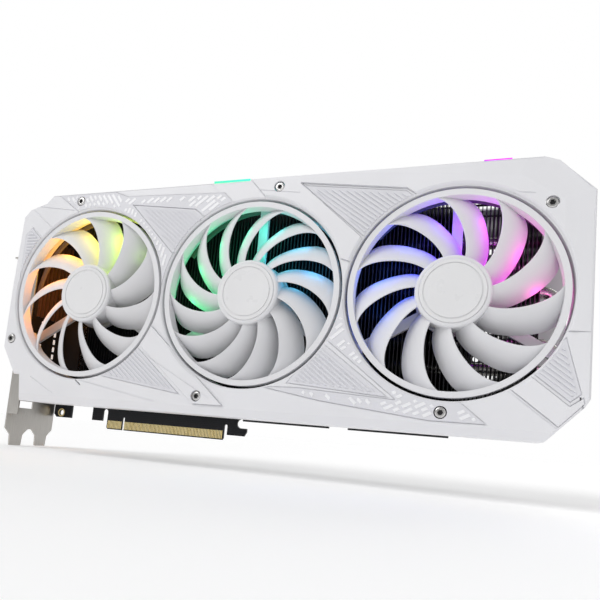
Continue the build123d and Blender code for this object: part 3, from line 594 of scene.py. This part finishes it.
def can_sleeves(materials):
    """The plastic foot and the dark half-moon on each capacitor can."""
    feet, marks = bmesh.new(), bmesh.new()
    for low, high in solid_boxes("capacitors"):
        x, z = (low.x + high.x) / 2, (low.z + high.z) / 2
        radius = (high.x - low.x) / 2
        foot = ring_of(x, z, radius + CAN_RIM, CAN_FOOT_SIDES)
        prism(feet, foot, high.y, high.y - CAN_FOOT_H, CAN_FOOT_BEVEL)
        mark = arc_of(x, z, radius - CAN_RIM, CAN_MARK_ANGLES)
        prism(marks, mark, low.y, low.y - CAN_MARK_H, CAN_MARK_BEVEL)
    mesh_piece("can_feet", feet, materials["chip_black"])
    mesh_piece("can_marks", marks, materials["chip_black"])


# ---- screws, baffle, fins and frame
# the sockets' depth and the hexagon's radius, then the height and bevel of the painted shade disc
# on each socket's floor
SOCKET_DEPTH, SOCKET_RADIUS = 1.3 * MM, 1.3 * MM
SOCKET_SHADE_H, SOCKET_SHADE_BEVEL = 0.25 * MM, 0.05 * MM


def painted_socket_shade(materials):
    """Painted shade: dark hexagonal discs on the floors of the cover screws' sockets, standing in
    for the shade deep inside them.
    """
    bm = bmesh.new()
    for low, high in solid_boxes("shroud_screws"):
        x, z = (low.x + high.x) / 2, (low.z + high.z) / 2
        bottom = low.y + SOCKET_DEPTH
        # painted shade: a black disc where the socket's depth makes shade
        hexagon = ring_of(x, z, SOCKET_RADIUS, 6)
        prism(bm, hexagon, bottom, bottom - SOCKET_SHADE_H, SOCKET_SHADE_BEVEL)
    mesh_piece("painted_socket_shade", bm, materials["screw_black"])


# on the end baffle: number of ribs, first rib's depth, step, and the box each one fills
RIB_COUNT, RIB_START_Y, RIB_STEP = 8, -33.5 * MM, 3.1 * MM
RIB_OUT, RIB_WIDE, RIB_BEVEL = 1.4 * MM, 1.5 * MM, 0.2 * MM
RIB_FOOT_Z, RIB_BELOW_TOP, RIB_PROBE_Z = 67 * MM, 3 * MM, 90 * MM
# the two columns of slots: number in each, their depths, and the heights in millimetres
SLOT_COUNT, SLOT_COLUMNS = 7, (-28.5 * MM, -17.0 * MM)
SLOT_START, SLOT_STEP = 16.5, 4.9
SLOT_OUT, SLOT_WIDE, SLOT_TALL, SLOT_BEVEL = 0.25 * MM, 1.5 * MM, 3.1 * MM, 0.1 * MM
# glow strength of the inserts: painted light, standing in for light seen through the bracket's
# vents
SLOT_PAINTED_LIGHT = 0.5
# the rays start this far inside the baffle's end towards the tail
BAFFLE_PROBE = 2 * MM


def baffle_face(tree, y, z):
    """Where the end baffle's side towards the tail is, at a depth and height."""
    start = Vector((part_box("end_baffle")[1].x - BAFFLE_PROBE, y, z))
    hit, _, _, _ = tree.ray_cast(start, Vector((-1, 0, 0)))
    return hit.x


def baffle_details(materials):
    """Upright ribs on the end baffle, and below them two columns of thin inserts that glow white:
    painted light, standing in for light seen through the bracket's vents.
    """
    tree = tree_of(["end_baffle"])
    low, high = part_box("end_baffle")
    ribs, slots = bmesh.new(), bmesh.new()
    for k in range(RIB_COUNT):
        y = RIB_START_Y + k * RIB_STEP
        x = baffle_face(tree, y, RIB_PROBE_Z)
        top = Vector((x + RIB_OUT, y + RIB_WIDE, high.z - RIB_BELOW_TOP))
        slat(ribs, Vector((x, y, RIB_FOOT_Z)), top, RIB_BEVEL)
    for y in SLOT_COLUMNS:
        for k in range(SLOT_COUNT):
            z = low.z + (SLOT_START + SLOT_STEP * k) * MM
            x = baffle_face(tree, y, z)
            top = Vector((x + SLOT_OUT, y + SLOT_WIDE, z + SLOT_TALL))
            slat(slots, Vector((x, y, z)), top, SLOT_BEVEL)
    # the inserts glow white: painted light seen through the vents, not a lamp
    painted_vent_light = moulded("slot_painted_vent_light", (0.85, 0.85, 0.86), 0.5)
    shader = painted_vent_light.node_tree.nodes["Principled BSDF"]
    shader.inputs["Emission Color"].default_value = (1, 1, 1, 1)
    shader.inputs["Emission Strength"].default_value = SLOT_PAINTED_LIGHT
    brown = moulded("baffle_brown", (0.075, 0.045, 0.035), 0.32)
    mesh_piece("baffle_ribs", ribs, brown)
    mesh_piece("baffle_slots_painted_light", slots, painted_vent_light)


FIN_STEP, FIN_THICK, FIN_TALL, FIN_BEVEL = 1.9 * MM, 0.45 * MM, 15 * MM, 0.06 * MM
# number of fins passed before each group, fins in it, and how far its top is below the stack's
FIN_GROUPS = ((1, 12, 0.0), (13, 8, 5.5 * MM))
# the ties: place from the stack's front and back, depth, height, and shift off the fins' edges
TIE_FRONT, TIE_BACK = 3 * MM, 4.6 * MM
TIE_DEEP, TIE_TALL, TIE_SHIFT = 1.6 * MM, 0.5 * MM, 0.1 * MM
TIE_BELOW_TOP = 0.6 * MM


def shelf_fins(materials):
    """Short fins that carry the left stack on towards the bracket, along the top of the duct."""
    low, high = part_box("fins_left")
    bm = bmesh.new()
    foot = high.z - FIN_TALL
    for passed, count, drop in FIN_GROUPS:
        last = low.x - passed * FIN_STEP
        first = last - (count - 1) * FIN_STEP
        top = high.z - drop
        for k in range(count):
            x = first + k * FIN_STEP
            slat(bm, Vector((x, low.y, foot)), Vector((x + FIN_THICK, high.y, top)), FIN_BEVEL)
        start, end = first + TIE_SHIFT, last + FIN_STEP + TIE_SHIFT
        for y in (low.y + TIE_FRONT, high.y - TIE_BACK):
            for z in (foot + TIE_SHIFT, top - TIE_BELOW_TOP):
                tie_end = Vector((end, y + TIE_DEEP, z + TIE_TALL))
                slat(bm, Vector((start, y, z)), tie_end, FIN_BEVEL)
    mesh_piece("shelf_fins", bm, materials["fin_black"])


# where the lip starts and stops from the board's two ends, and the gap between its lengths
LIP_START, LIP_STOP = 142 * MM, 3.5 * MM
LIP_FIRST, LIP_GAP = 53 * MM, 11 * MM
LIP_BELOW, LIP_ABOVE, LIP_OUT, LIP_BEVEL = 0.3 * MM, 1.2 * MM, 2.2 * MM, 0.15 * MM


def lower_frame(materials):
    """The dark lip of the board's frame that shows under the cover, in two lengths."""
    bm = bmesh.new()
    low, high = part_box("circuit_board")
    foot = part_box("front_shroud")[0].z
    start, end = low.x + LIP_START, high.x - LIP_STOP
    gap = start + LIP_FIRST
    for a, b in ((start, gap), (gap + LIP_GAP, end)):
        outline = rectangle(a, b, foot - LIP_BELOW, foot + LIP_ABOVE)
        prism(bm, outline, low.y, low.y - LIP_OUT, LIP_BEVEL)
    mesh_piece("lower_frame", bm, materials["frame_black"])


# ---- light and camera
# strength of the white surround on the card; the camera sees it at full strength
AMBIENT = 0.40
# sun: heading, strength, and angle in degrees, which softens the shadow
SUNS = {
    "key": ((0.62, 0.75, -0.85), 1.2, 38),
    "fill": ((-0.8, 0.75, -0.35), 0.22, 60),
    "rear": ((-0.2, -0.9, -0.6), 1.0, 50),
}


def sun_light(name, heading, strength, softness):
    data = bpy.data.lights.new(name, "SUN")
    data.energy = strength
    data.angle = math.radians(softness)
    lamp = bpy.data.objects.new(name, data)
    lamp.rotation_euler = Vector(heading).to_track_quat("-Z", "Y").to_euler()
    bpy.context.collection.objects.link(lamp)


def studio():
    """A white surround, a broad key from the upper left, a weak fill and a light from behind."""
    world = bpy.data.worlds.new("studio")
    world.use_nodes = True
    tree = world.node_tree
    background = tree.nodes["Background"]
    background.inputs["Color"].default_value = (1.0, 1.0, 1.0, 1)
    seen = tree.nodes.new("ShaderNodeLightPath")
    level = tree.nodes.new("ShaderNodeMapRange")
    level.inputs["To Min"].default_value = AMBIENT
    level.inputs["To Max"].default_value = 1.0
    tree.links.new(seen.outputs["Is Camera Ray"], level.inputs["Value"])
    tree.links.new(level.outputs[0], background.inputs["Strength"])
    bpy.context.scene.world = world
    bpy.context.scene.view_settings.view_transform = "Standard"
    for name, (heading, strength, softness) in SUNS.items():
        sun_light(name, heading, strength, softness)


LAMP_SIZE = 4 * MM


def point_lamp(name, place, power, colour):
    data = bpy.data.lights.new(name, "POINT")
    data.shadow_soft_size = LAMP_SIZE
    data.energy = power
    data.color = colour
    lamp = bpy.data.objects.new(name, data)
    lamp.location = place
    lamp.visible_camera = False
    bpy.context.collection.objects.link(lamp)


# fan: first and last angle in degrees, number of lamps, and power
GLOWS = {
    "left": (40, 195, 13, 0.0029),
    "centre": (15, 200, 14, 0.0020),
    "right": (0, 185, 14, 0.0021),
}
# distance from the fan's axis and depth in millimetres, and share of the power
LAMP_LAYERS = ((37, -43.0, 1.0), (25, -39.3, 0.5))


def duct_lamps():
    """Two layers of small coloured lamps around the upper part of each fan."""
    for name, (first, last, count, power) in GLOWS.items():
        x, z = fan_axis(name)
        for k in range(count):
            angle = math.radians(first + (last - first) * k / (count - 1))
            for layer, (radius, depth, share) in enumerate(LAMP_LAYERS):
                lamp_x = x + radius * MM * math.cos(angle)
                lamp_z = z + radius * MM * math.sin(angle)
                point_lamp(f"duct_lamp_{name}_{k}_{layer}", (lamp_x, depth * MM, lamp_z),
                           power * share, rainbow_at(lamp_x))


# half the floor's width in metres, and the number of squares along each side
FLOOR_HALF, FLOOR_SQUARES = 24.0, 8


def floor():
    """A wide pale floor just under the card's lowest points."""
    row = FLOOR_SQUARES + 1
    line = [FLOOR_HALF * (2 * k / FLOOR_SQUARES - 1) for k in range(row)]
    verts = [(x, y, FLOOR_Z) for y in line for x in line]
    faces = [(j * row + i, j * row + i + 1, (j + 1) * row + i + 1, (j + 1) * row + i)
             for j in range(FLOOR_SQUARES) for i in range(FLOOR_SQUARES)]
    mesh = bpy.data.meshes.new("floor")
    mesh.from_pydata(verts, [], faces)
    s = Shader("floor")
    s.set(Roughness=0.9, Specular_IOR_Level=0.2)
    s.set(Emission_Color=(1, 1, 1, 1), Emission_Strength=0.2)
    patches = s.noise(per_metre=3)
    s.feed("Base Color", s.shades(patches, dark=(0.93, 0.93, 0.93), light=(0.95, 0.95, 0.95)))
    mesh.materials.append(s.material)
    obj = bpy.data.objects.new("floor", mesh)
    bpy.context.collection.objects.link(obj)


# fitted to the photograph, in metres and degrees
CAMERA_PLACE = (0.2150, -0.2918, 0.0045)
CAMERA_TURN = (96.02, -5.15, 18.38)
CAMERA_SHIFT = (0.009, 0.139)


def camera():
    """The photograph's viewpoint: to the right of the card's middle, near its lower edge."""
    data = bpy.data.cameras.new("camera")
    data.sensor_width = 36.0
    data.lens = 31.61
    data.shift_x, data.shift_y = CAMERA_SHIFT
    data.clip_start = 0.01
    data.clip_end = 50
    obj = bpy.data.objects.new("camera", data)
    obj.location = CAMERA_PLACE
    obj.rotation_euler = [math.radians(a) for a in CAMERA_TURN]
    bpy.context.collection.objects.link(obj)
    bpy.context.scene.camera = obj


# ---- build
finishes = slot_materials()
dress_nodes(finishes)
inlay_relief(moulded("stroke_white", (0.90, 0.90, 0.92), 0.3, coat=0.3))
board_parts(finishes)
can_sleeves(finishes)
painted_socket_shade(finishes)
baffle_details(finishes)
shelf_fins(finishes)
lower_frame(finishes)
for node, width in BEVELS.items():
    soften(node, width)
studio()
duct_lamps()
floor()
camera()
